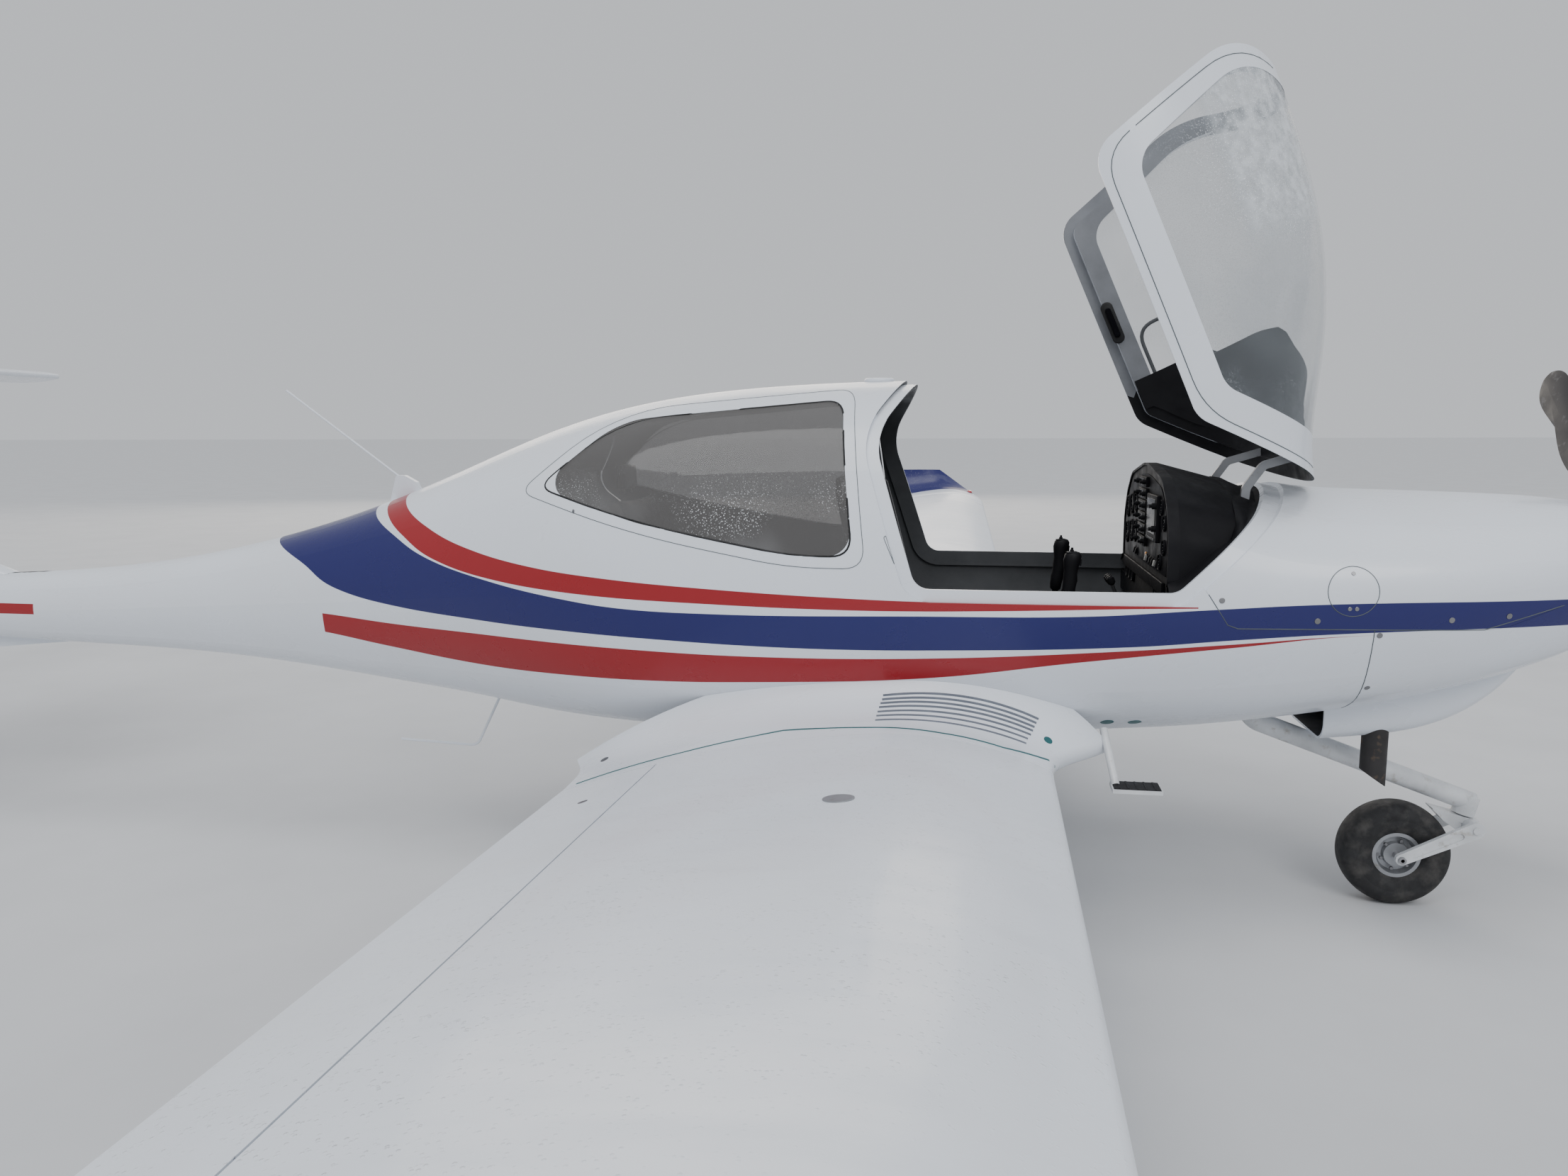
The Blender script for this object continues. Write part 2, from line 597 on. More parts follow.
def plate(name, centre, size, finish, normal=(-1, 0, 0), up=(0, 0, 1), bevel=0.003, body="airframe"):
    """A box with rounded edges facing a way: size is across, up and out."""
    out = Vector(normal).normalized()
    up = (Vector(up) - out * out.dot(Vector(up))).normalized()
    bm = bmesh.new()
    bmesh.ops.create_cube(bm, size=1.0)
    bmesh.ops.scale(bm, vec=size, verts=bm.verts)
    bmesh.ops.bevel(bm, geom=bm.edges[:], offset=min(bevel, min(size) * 0.45), segments=3, profile=0.6,
                    affect="EDGES")
    turn = Matrix((up.cross(out), up, out)).transposed().to_4x4()
    bm.transform(Matrix.Translation(centre) @ turn)
    built(name, bm, finish, body, sharp=35)


def flat(name, centre, size, finish, bevel, normal=(0, 0, 1)):
    """A plate lying down, with its size across, along the aircraft and up."""
    plate(name, Vector(centre), size, finish, normal=normal, up=(1, 0, 0), bevel=bevel)


# Joint line and seals round the rear side windows
WINDOW = [(0.262, 1.425), (0.520, 1.648), (1.283, 1.712), (1.342, 1.228), (1.150, 1.228), (0.640, 1.318)]
WINDOW_R = [0.06, 0.3, 0.06, 0.07, 0.3, 0.5]
ring = spread(rounded([tuple(p) for p in grown(WINDOW, 0.036)], WINDOW_R), 0.02, True)
side_line("window_joint_right", ring, -1, 0.0022, "line")
edge = spread(rounded(WINDOW, WINDOW_R), 0.02, True)
side_line("window_seal_right", edge, -1, 0.006, "seal", lift=0.0002)
side_line("window_seal_left", edge, 1, 0.006, "seal", "cabin_door", lift=0.0002)

# Oil door on the cowl's side, with its three catches
OIL_X, OIL_Z, OIL_R = 2.799, 1.143, 0.072
turns = [a / 24 * math.pi for a in range(48)]
oil = [Vector((OIL_X + OIL_R * math.cos(a), OIL_Z + OIL_R * math.sin(a))) for a in turns]
side_line("oil_door_line", oil, -1, 0.0022, "line")
for k, (x, z) in enumerate(((2.799, 1.195), (2.79, 1.093), (2.81, 1.093))):
    disc(f"oil_door_catch_{k}", on_side(x, z, -1), 0.006, 0.0015, "screw", 16)

# Quarter-turn fasteners and joints of the cowls, and the drain ports behind them
COWL_FASTENERS = ((2.428, 1.115), (2.702, 1.056), (3.081, 1.061), (3.246, 1.072), (2.882, 1.014),
                  (2.882, 0.842), (3.52, 1.150))
DRAIN_PORTS = ((2.135, 0.698), (2.221, 0.698))
SEAMS = {"cowl": [(2.378, 1.150), (2.448, 1.042), (2.478, 1.031), (3.18, 1.031), (3.416, 1.106),
                  (3.74, 1.186)],
         "firewall": [(2.866, 1.028), (2.866, 0.74)]}
for side, tag in SIDES:
    for k, (x, z) in enumerate(COWL_FASTENERS):
        disc(f"cowl_fastener_{tag}_{k}", on_side(x, z, side), 0.0085, 0.0016, "screw", 18)
    for part, points in SEAMS.items():
        side_line(f"{part}_joint_{tag}", spread(points, 0.02), side, 0.0026, "line", closed=False)
    for k, (x, z) in enumerate(DRAIN_PORTS):
        disc(f"drain_port_{tag}_{k}", on_side(x, z, side), 0.021, 0.0012, "teal", 28)

# Wing root joint line, walkway strips from (x, y) to (x, y), fasteners, fuel caps and tip lights
ROOT_LINE = [(0.532, 0.84), (0.853, 0.80), (1.152, 0.735), (1.394, 0.772), (1.624, 0.80), (1.803, 0.80),
             (1.953, 0.739)]
WALK = [(1.442, 0.601, 1.913, 0.579), (1.440, 0.614, 1.906, 0.593), (1.436, 0.627, 1.900, 0.608),
        (1.433, 0.642, 1.895, 0.623), (1.430, 0.661, 1.888, 0.642), (1.428, 0.682, 1.878, 0.666),
        (1.427, 0.709, 1.872, 0.696)]
WING_FASTENERS = ((0.552, 0.63, "screw"), (0.69, 1.228, "screw"), (1.94, 0.63, "teal"))
CAP_X, CAP_Y = 1.42, 1.62
LIGHT_X, LIGHT_Y = 1.70, 5.78
for side, tag in SIDES:
    hits = [on_top(p.x, side * p.y) for p in spread(ROOT_LINE, 0.02)]
    ribbon(f"wing_joint_line_{tag}", hits, 0.0115, 0.0004, "teal")
    for k, (x0, y0, x1, y1) in enumerate(WALK):
        points = [Vector((x0, y0)).lerp(Vector((x1, y1)), i / 30) for i in range(31)]
        hits = [on_top(p.x, side * p.y) for p in points]
        ribbon(f"walk_strip_{tag}_{k}", hits, 0.0085, 0.0006, "walk", thick=0.0012)
    for k, (x, y, finish) in enumerate(WING_FASTENERS):
        disc(f"wing_fastener_{tag}_{k}", on_top(x, side * y), 0.014, 0.0012, finish, 20)
    disc(f"fuel_cap_{tag}", on_top(CAP_X, side * CAP_Y), 0.036, 0.003, "cast", 36)
    lens = "green_lens" if side < 0 else "red_lens"
    disc(f"tip_light_{tag}", on_top(LIGHT_X, side * LIGHT_Y), 0.022, 0.012, lens, 28, bevel=0.8)

# Canopy pieces are laid out with the canopy shut and swung open with it
SWING = Matrix.Translation(PIVOT) @ Matrix.Rotation(OPEN, 4, "Y") @ Matrix.Translation(-PIVOT)
TURN = SWING.to_3x3()
SHUT = tree_of(nodes("canopy_frame", "canopy_glass"), SWING.inverted())
CANOPY = [(1.508, 1.094), (2.320, 1.094), (3.244, 1.950), (1.490, 1.950), (1.490, 1.812), (1.350, 1.600)]
CANOPY_R = [0.095, 0.095, 0.01, 0.01, 0.06, 0.22]
ARCH_Z = 1.12


def on_canopy(x, z, side):
    """Point and normal on the shut canopy's side."""
    return SHUT.ray_cast(Vector((x, side * 1.5, z)), Vector((0, -side, 0)))[:2]


def around(x, angle):
    """Outermost place on the shut canopy at a station, at an angle up from starboard over to port."""
    way = Vector((0, -math.cos(angle), math.sin(angle)))
    return SHUT.ray_cast(Vector((x, 0, ARCH_Z)) + way * 1.4, -way)[0]


def swung(hits):
    """Points and normals on the shut canopy, moved to the open one."""
    return [(SWING @ place, TURN @ normal) for place, normal in hits]


def sheet_of(name, rows, body, swing=False):
    """A thin black shell through rows of points, with its back face a little way behind."""
    bm = bmesh.new()
    bridge(bm, [[bm.verts.new(p) for p in row] for row in rows], ring=False)
    bm.normal_update()
    bmesh.ops.solidify(bm, geom=bm.faces[:], thickness=0.0015)
    if swing:
        bm.transform(SWING)
    bm.normal_update()
    return built(name, bm, "black", body, sharp=40)


def slab(name, place, size, height, finish):
    """A low piece with half-round ends and a rounded rim, lying on the canopy's inner face."""
    along, up = TURN @ FORWARD, TURN @ UP
    out = along.cross(up).normalized()
    if out.y * place.y > 0:
        out = -out
    half, r = (size[0] - size[1]) / 2, size[1] / 2
    bm = bmesh.new()
    rows = []
    for shrink, lift in ((0.0, 0.0), (0.0, 0.6), (0.3, 0.9), (0.6, 1.0)):
        rim = r - shrink * r * 0.5
        row = []
        for i in range(32):
            a = math.tau * i / 32
            u = math.copysign(half, math.cos(a)) + rim * math.cos(a)
            row.append(bm.verts.new(place + along * u + up * (rim * math.sin(a)) + out * height * lift))
        rows.append(row)
    solid(bm, rows)
    built(name, bm, finish, "canopy", sharp=35)


# Groove round the canopy frame, in runs where the frame has a side
groove = spread(rounded([tuple(p) for p in grown(CANOPY, -0.030)], CANOPY_R), 0.02, True)
for side, tag in SIDES:
    runs, run = [], []
    for hit in [on_canopy(p.x, p.y, side) for p in groove if p.y < 1.72]:
        if hit[0] is None:
            continue
        if run and (hit[0] - run[-1][0]).length > 0.06:
            runs.append(run)
            run = []
        run.append(hit)
    runs.append(run)
    for k, run in enumerate(r for r in runs if len(r) > 3):
        ribbon(f"canopy_groove_{tag}_{k}", swung(run), 0.0028, 0.0003, "line", "canopy")

# Apron closing the hood against the coaming all round the mouth's front, as rim pairs for one half
APRON = [((2.286, 0.560, 1.108), (2.286, 0.494, 1.150)), ((2.330, 0.553, 1.146), (2.330, 0.491, 1.166)),
         ((2.380, 0.543, 1.192), (2.380, 0.481, 1.210)), ((2.430, 0.526, 1.238), (2.430, 0.468, 1.252)),
         ((2.474, 0.500, 1.276), (2.476, 0.448, 1.283)), ((2.516, 0.450, 1.322), (2.494, 0.412, 1.325)),
         ((2.546, 0.400, 1.350), (2.494, 0.380, 1.360)), ((2.566, 0.350, 1.368), (2.494, 0.341, 1.386)),
         ((2.586, 0.300, 1.386), (2.494, 0.297, 1.411)), ((2.596, 0.250, 1.395), (2.494, 0.249, 1.4225)),
         ((2.606, 0.200, 1.404), (2.494, 0.200, 1.4305)), ((2.616, 0.150, 1.414), (2.494, 0.150, 1.4385)),
         ((2.626, 0.100, 1.423), (2.494, 0.100, 1.4465)), ((2.626, 0.0, 1.424), (2.494, 0.0, 1.4555))]
UNDER_CANOPY = 0.009
rims = [(Vector(a), Vector(b)) for a, b in APRON]
flip = Vector((1, -1, 1))
rims = [(a * flip, b * flip) for a, b in rims] + rims[-2::-1]
rows = []
for (a0, b0), (a1, b1) in zip(rims, rims[1:]):
    for i in range(4):
        a, b = a0.lerp(a1, i / 4), b0.lerp(b1, i / 4)
        rows.append([a.lerp(b, t / 8) + UP * (0.004 * math.sin(math.pi * t / 8)) for t in range(9)])
rows.append([rims[-1][0].lerp(rims[-1][1], t / 8) for t in range(9)])
for row in rows:
    for place in row:
        roof = SHUT.ray_cast(Vector((place.x, place.y, 0.9)), UP)[0]
        if roof is not None:
            place.z = min(place.z, roof.z - UNDER_CANOPY)
apron = sheet_of("hood_apron", rows, "airframe")

# Canopy lining, as deep inside the canopy as the hood, its apron and the coaming leave room for
HOOD = (tree_of(nodes("glareshield", "canopy_coaming")), tree_of([apron.data]))
CLEARANCE = 0.011
DEPTHS = (0.040, 0.034, 0.028, 0.022, 0.016, 0.011)
STEP = 0.005
STATIONS = 57
COLUMNS = 24


def inside(x, angle, depth):
    """Lining's place at a station, a depth inside the canopy's outer face."""
    place = around(x, angle)
    return None if place is None else place - (place - Vector((place.x, 0, ARCH_Z))).normalized() * depth


def is_clear(place):
    """True where the shut lining would clear the hood, its apron and the coaming."""
    for tree in HOOD:
        if tree.find_nearest(place)[3] < CLEARANCE or tree.ray_cast(place, UP)[0] is not None:
            return False
    return True


spans = []
for i in range(STATIONS):
    angle = math.radians(2 + 176 * i / (STATIONS - 1))
    hit = around(2.30, angle) or Vector((2.30, 0, 1.2))
    first = last = read_off(LINING_AFT, abs(hit.y))
    depths = [(first, DEPTHS[0])]
    stop = read_off(LINING_FRONT, min(math.degrees(angle), 180 - math.degrees(angle)))
    while last < stop:
        spots = [(d, inside(last + STEP, angle, d)) for d in DEPTHS if d <= depths[-1][1]]
        fit = [d for d, spot in spots if spot is not None and is_clear(spot)]
        if not fit:
            break
        last += STEP
        depths.append((last, fit[0]))
    spans.append((angle, first, last, depths))
ends = [min(span[2] for span in spans[max(0, i - 1):i + 2]) for i in range(STATIONS)]
lining = []
for (angle, first, _, depths), last in zip(spans, ends):
    row = []
    for k in range(COLUMNS + 1):
        x = first + (max(last, first + STEP) - first) * k / COLUMNS
        depth = [d for at, d in depths if at <= x + 0.0051][-1]
        spot = inside(x, angle, depth)
        row.append(spot if spot is not None else row[-1].copy())
    lining.append(row)
sheet_of("canopy_lining", lining, "canopy", swing=True)

# Storm window's ring and seal, to port only, and the latches on both sides
STORM = [(1.985, 1.225), (2.215, 1.225), (2.250, 1.330), (2.215, 1.425), (1.985, 1.425)]
ring = spread(rounded(STORM, [0.07, 0.06, 0.08, 0.06, 0.07]), 0.012, True)
ring = [hit for hit in (on_canopy(p.x, p.y, 1) for p in ring) if hit[0] is not None]
ribbon("storm_window_ring", swung(ring), 0.010, 0.0004, "seal", "canopy", True, 0.0015)
behind = [(place - normal * 0.009, -normal) for place, normal in ring]
ribbon("storm_window_seal", swung(behind), 0.014, 0.0004, "wall", "canopy", True, 0.0025)
for side, tag in SIDES:
    place, normal = on_canopy(1.93, 1.150, side)
    inner, out = SWING @ (place - normal * 0.037), TURN @ -normal
    slab(f"latch_plate_{tag}", inner - out * 0.002, (0.165, 0.046), 0.007, "seal")
    slab(f"latch_lever_{tag}", inner + out * 0.004, (0.118, 0.022), 0.013, "gloss_black")

# Instrument panel: overlay, round instruments, radio stack, screen, switches and levers
PANEL_AT = 2.2895
PANEL_MIDDLE_Z = 1.3
AFT = (-1, 0, 0)


def panel_plate(name, y, z, size, finish, bevel=0.003, front=None):
    """A plate on the panel; front is how far its middle stands out, else half its depth."""
    front = size[2] / 2 if front is None else front
    plate(name, Vector((PANEL_AT - front, y, z)), size, finish, bevel=bevel)


def panel_knob(name, y, z, front, profile, segments):
    """A turned knob on the panel, with its foot a way out in front."""
    lathe(name, profile, Vector((PANEL_AT - front, y, z)), AFT, "knob", segments)


def marks(name, y, z, radius, turn):
    """Scale marks and a needle, just proud of a dial."""
    bm = bmesh.new()

    def strip(angle, r0, r1, width):
        way = Vector((0, -math.sin(angle), math.cos(angle)))
        side = Vector((0, math.cos(angle), math.sin(angle))) * width / 2
        base = Vector((PANEL_AT - 0.0034, y, z))
        corners = [base + way * r0 - side, base + way * r0 + side, base + way * r1 + side * 0.7,
                   base + way * r1 - side * 0.7]
        low = [bm.verts.new(c) for c in corners]
        high = [bm.verts.new(c - Vector((0.0007, 0, 0))) for c in corners]
        bm.faces.new(high)
        bridge(bm, [low, high])

    for k in range(12):
        strip(math.tau * k / 12, radius * 0.78, radius * 0.94, 0.0016)
    strip(turn, -radius * 0.16, radius * 0.80, 0.0024)
    built(name, bm, "dial", "airframe", smooth=False)


def dial(tag, y, z, radius, turn):
    """A round instrument: bezel with a stepped lip and recessed face, scale, needle and four screws."""
    place = Vector((PANEL_AT, y, z))
    profile = [(radius * 1.14, -0.001), (radius * 1.14, 0.005), (radius * 1.08, 0.0085), (radius, 0.0075),
               (radius * 0.97, 0.0025), (radius * 0.96, 0.0025)]
    lathe(f"bezel_{tag}", profile, place, AFT, "bezel", 40)
    marks(f"scale_{tag}", y, z, radius, turn)
    for k in range(4):
        a = math.radians(45 + 90 * k)
        spot = place + Vector((0, math.cos(a), math.sin(a))) * radius * 1.33
        disc(f"bezel_screw_{tag}_{k}", (spot, AFT), 0.0032, 0.0012, "screw", 12)


PANEL_HALF = [(0.462, 1.165, 0.02), (0.462, 1.285, 0.09), (0.415, 1.365, 0.12), (0.322, 1.430, 0.16)]
corners = [(-y, z, r) for y, z, r in PANEL_HALF] + [(0.0, 1.476, 0.6)] + PANEL_HALF[::-1]
face = rounded([(y, z) for y, z, _ in corners], [r for _, _, r in corners])
bm = bmesh.new()
back_row = [bm.verts.new((PANEL_AT + 0.0002, p.x, p.y)) for p in face]
front_row = [bm.verts.new((PANEL_AT - 0.0022, p.x * 0.998, PANEL_MIDDLE_Z + (p.y - PANEL_MIDDLE_Z) * 0.998))
             for p in face]
bm.faces.new(front_row)
bridge(bm, [back_row, front_row])
bmesh.ops.recalc_face_normals(bm, faces=bm.faces[:])
built("panel_overlay", bm, "gloss_black", "airframe", smooth=False)

FLIGHT_DIALS = ((0.390, 1.330, 0.6), (0.290, 1.345, -0.5), (0.190, 1.360, 2.1), (0.390, 1.235, -2.0),
                (0.290, 1.248, 1.2), (0.190, 1.255, 3.0))
ENGINE_DIALS = ((-0.405, 1.325), (-0.405, 1.250), (-0.345, 1.370), (-0.345, 1.200))
for k, (y, z, turn) in enumerate(FLIGHT_DIALS):
    dial(f"flight_{k}", y, z, 0.036, turn)
for k, (y, z) in enumerate(ENGINE_DIALS):
    dial(f"engine_{k}", y, z, 0.022, -0.8 + 0.5 * k)

# Radio stack in the middle
RADIO_Y = 0.020
RADIO_KNOB = [(0.0082, 0), (0.0082, 0.010), (0.0074, 0.011), (0.0050, 0.011), (0.0048, 0.018),
              (0.0040, 0.019)]
for k, z in enumerate((1.438, 1.398, 1.358, 1.318, 1.278, 1.238)):
    panel_plate(f"radio_{k}", RADIO_Y, z, (0.162, 0.034, 0.012), "bezel")
    panel_plate(f"radio_screen_{k}", 0.030, z + 0.002, (0.092, 0.018, 0.0016), "screen", 0.0006, 0.0125)
    for j, y in enumerate((-0.048, 0.088)):
        panel_knob(f"radio_knob_{k}_{j}", y, z, 0.012, RADIO_KNOB, 20)
    for j in range(4):
        y = -0.028 + 0.017 * j
        panel_plate(f"radio_key_{k}_{j}", y, z - 0.012, (0.010, 0.004, 0.003), "wall", 0.001, 0.0128)

# Map display with its keys and knobs
MAP_KNOB = [(0.010, 0), (0.010, 0.012), (0.009, 0.013), (0.006, 0.013), (0.0058, 0.021), (0.005, 0.022)]
panel_plate("map_display", -0.205, 1.330, (0.205, 0.150, 0.014), "bezel", 0.006)
panel_plate("map_screen", -0.205, 1.336, (0.160, 0.112, 0.0018), "screen", 0.0008, 0.0146)
for k in range(6):
    panel_plate(f"map_key_{k}", -0.273 + 0.027 * k, 1.264, (0.018, 0.007, 0.004), "wall", 0.0014, 0.0152)
for k, z in enumerate((1.300, 1.372)):
    panel_knob(f"map_knob_{k}", -0.296, z, 0.014, MAP_KNOB, 22)

# Row of switches on both sides of the radios, lamp, lower bar and fresh-air vents
SWITCH_Z = 1.186
VENT = [(0.026, 0), (0.026, 0.006), (0.022, 0.009), (0.017, 0.005), (0.006, 0.006)]
for k in range(12):
    y = -0.300 + 0.044 * k
    if abs(y - RADIO_Y) < 0.09:
        continue
    panel_plate(f"switch_base_{k}", y, SWITCH_Z, (0.024, 0.030, 0.004), "knob", 0.0015)
    finish = "dial" if k % 4 == 1 else "bezel"
    plate(f"switch_rocker_{k}", Vector((PANEL_AT - 0.007, y, SWITCH_Z)), (0.015, 0.020, 0.007), finish,
          normal=(-1, 0, 0.22), bevel=0.002)
panel_plate("start_lamp", -0.060, 1.196, (0.020, 0.014, 0.006), "lamp", 0.002)
panel_plate("lower_bar", 0.0, 1.125, (0.86, 0.040, 0.010), "bezel", 0.004)
for k, y in enumerate((-0.36, -0.29, 0.22, 0.29, 0.36)):
    panel_knob(f"vent_{k}", y, 1.092, 0, VENT, 30)

# Levers on the quadrant and its slots
LEVER_KNOB = [(0.006, 0), (0.0125, 0.006), (0.014, 0.016), (0.0125, 0.026), (0.006, 0.031)]
for k, (y, finish) in enumerate(((0.034, "knob"), (0.0, "bezel"), (-0.034, "knob"))):
    foot, head = Vector((2.235, y, 0.985)), Vector((2.185, y, 1.085))
    tube(f"lever_{k}", [foot, foot.lerp(head, 0.5) + Vector((-0.004, 0, 0)), head], 0.004, "screw")
    lathe(f"lever_knob_{k}", LEVER_KNOB, head, head - foot, finish, 24)
    flat(f"lever_slot_{k}", (2.205, y, 1.0006), (0.012, 0.085, 0.002), "seal", 0.0008)

# Stick grips with buttons, and bellows at their feet; a grip's rows are height, half sizes and lean
STICK_WAY = Vector((0.042, 0, 0.535)).normalized()
STICK_Y = 0.228
STICK_TRIM = [(0.0065, 0), (0.0065, 0.006), (0.004, 0.008), (0.004, 0.013), (0.003, 0.014)]
GRIP = [(-0.150, 0.014, 0.014, 0), (-0.146, 0.019, 0.018, 0), (-0.125, 0.021, 0.020, 0),
        (-0.100, 0.0235, 0.021, 0.002), (-0.078, 0.021, 0.020, 0.004), (-0.055, 0.0235, 0.021, 0.005),
        (-0.034, 0.021, 0.020, 0.004), (-0.012, 0.024, 0.022, 0.003), (0.010, 0.028, 0.024, 0.004),
        (0.028, 0.027, 0.023, 0.006), (0.038, 0.018, 0.016, 0.008), (0.041, 0.004, 0.004, 0.009)]
ahead = Vector((STICK_WAY.z, 0, -STICK_WAY.x))
boot = []
for k in range(9):
    fold = 0.062 - 0.0052 * k
    boot += [(fold, 0.013 * k), (fold - 0.011, 0.013 * k + 0.0065)]
turns = [math.tau * i / 28 for i in range(28)]
for side, tag in SIDES:
    top = Vector((2.027, side * STICK_Y, 1.215))
    bm = bmesh.new()
    rows = []
    for height, a, b, lean in GRIP:
        centre = top - STICK_WAY * 0.036 + STICK_WAY * height + ahead * lean
        rows.append([bm.verts.new(centre + ahead * (a * math.cos(t)) + Vector((0, b * math.sin(t), 0)))
                     for t in turns])
    solid(bm, rows)
    built(f"stick_grip_{tag}", bm, "black", "airframe")
    lathe(f"stick_trim_{tag}", STICK_TRIM, top + STICK_WAY * 0.002, STICK_WAY, "knob", 16)
    plate(f"stick_talk_{tag}", top - STICK_WAY * 0.030 + ahead * 0.031, (0.012, 0.022, 0.008), "knob",
          normal=ahead)
    lathe(f"stick_boot_{tag}", boot, Vector((1.985, side * STICK_Y, 0.680)), STICK_WAY, "cushion")

# Seats as separate stuffed pieces
SEAM_WIDTH = 0.0075
Y = (0, 1, 0)


def pillow(name, centre, long_way, size, crown, across=(), along=(), steps=44, flat_back=True):
    """A crowned closed cushion with sides pulled in between its corners and channels sewn into it."""
    a, b = Vector(Y), Vector(long_way).normalized()
    out = a.cross(b)
    half_w, half_l, half_t = (v / 2 for v in size)
    bm = bmesh.new()

    def point(s, t, sign):
        u, v = math.sin(s * math.pi / 2), math.sin(t * math.pi / 2)
        edge = max(0.0, 1 - abs(u) ** 5) ** 0.30 * max(0.0, 1 - abs(v) ** 5) ** 0.30
        rise = half_t * edge
        if sign > 0:
            rise += crown * (1 - u * u) ** 0.8 * (1 - v * v) ** 0.8
            for at in across:
                rise -= 0.006 * math.exp(-((v - at) * half_l / SEAM_WIDTH) ** 2) * edge
            for at in along:
                rise -= 0.005 * math.exp(-((u - at) * half_w / SEAM_WIDTH) ** 2) * edge
        elif not flat_back:
            rise += crown * 0.5 * (1 - u * u) * (1 - v * v)
        pull_u = 1 - 0.030 * (1 - v * v)
        pull_v = 1 - 0.030 * (1 - u * u)
        return Vector(centre) + a * (half_w * u * pull_u) + b * (half_l * v * pull_v) + out * (sign * rise)

    places = [-1 + 2 * i / steps for i in range(steps + 1)]
    for sign in (1, -1):
        g = [[bm.verts.new(point(s, t, sign)) for t in places] for s in places]
        for i in range(steps):
            for j in range(steps):
                quad = (g[i][j], g[i + 1][j], g[i + 1][j + 1], g[i][j + 1])
                bm.faces.new(quad if sign > 0 else quad[::-1])
    rim = [g[i][0] for i in range(steps + 1)] + [g[steps][j] for j in range(1, steps + 1)]
    rim += [g[i][steps] for i in range(steps - 1, -1, -1)] + [g[0][j] for j in range(steps - 1, 0, -1)]
    rim = [v.co.copy() for v in rim]
    bmesh.ops.remove_doubles(bm, verts=bm.verts, dist=0.0002)
    bmesh.ops.recalc_face_normals(bm, faces=bm.faces[:])
    obj = built(name, bm, "cushion", "airframe")
    tube(f"{name}_piping", rim, 0.0032, "piping", closed=True)
    return obj


def strap(name, points, across):
    """Flat harness webbing along points."""
    width, thick = 0.042, 0.0022
    across = Vector(across).normalized() * width / 2
    bm = bmesh.new()
    rows = []
    for i, p in enumerate(points):
        way = (points[min(i + 1, len(points) - 1)] - points[max(i - 1, 0)]).normalized()
        up = way.cross(across).normalized() * thick / 2
        rows.append([bm.verts.new(p + v) for v in (-across - up, across - up, across + up, -across + up)])
    solid(bm, rows)
    built(name, bm, "strap", "airframe", sharp=40)


